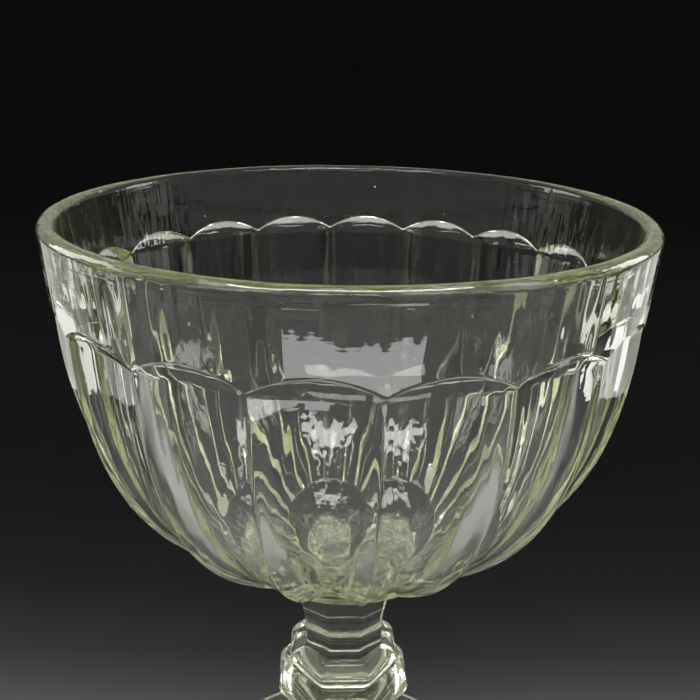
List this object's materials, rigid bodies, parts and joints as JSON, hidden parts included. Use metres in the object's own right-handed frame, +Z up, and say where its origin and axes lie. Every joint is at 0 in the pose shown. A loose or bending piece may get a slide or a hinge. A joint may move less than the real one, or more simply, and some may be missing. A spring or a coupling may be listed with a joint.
{
  "type": "footed glass bowl",
  "caption": "Deep round footed bowl of pressed glass, its sides fluted below a smooth band, on a knopped faceted stem and a round trumpet foot.",
  "frame": {"origin": "centre of the ground ring under the foot, on the table", "axes": "+Z up along the axis of the bowl, the stem and the foot; -Y towards the pictured front"},
  "size_m": [0.18, 0.18, 0.243],
  "materials": {
    "glass_bowl": "clear, faintly yellow-green, fire-polished lip",
    "glass_wafer": "clear, faintly yellow-green, slightly frosty where it was drawn",
    "glass_stem": "clear, faintly yellow-green, pressed panels",
    "glass_foot": "clear, faintly yellow-green, smooth"
  },
  "bodies": {
    "root": {"bowl": "glass_bowl", "joining_wafer": "glass_wafer", "stem": "glass_stem", "foot": "glass_foot"}
  },
  "joints": []
}
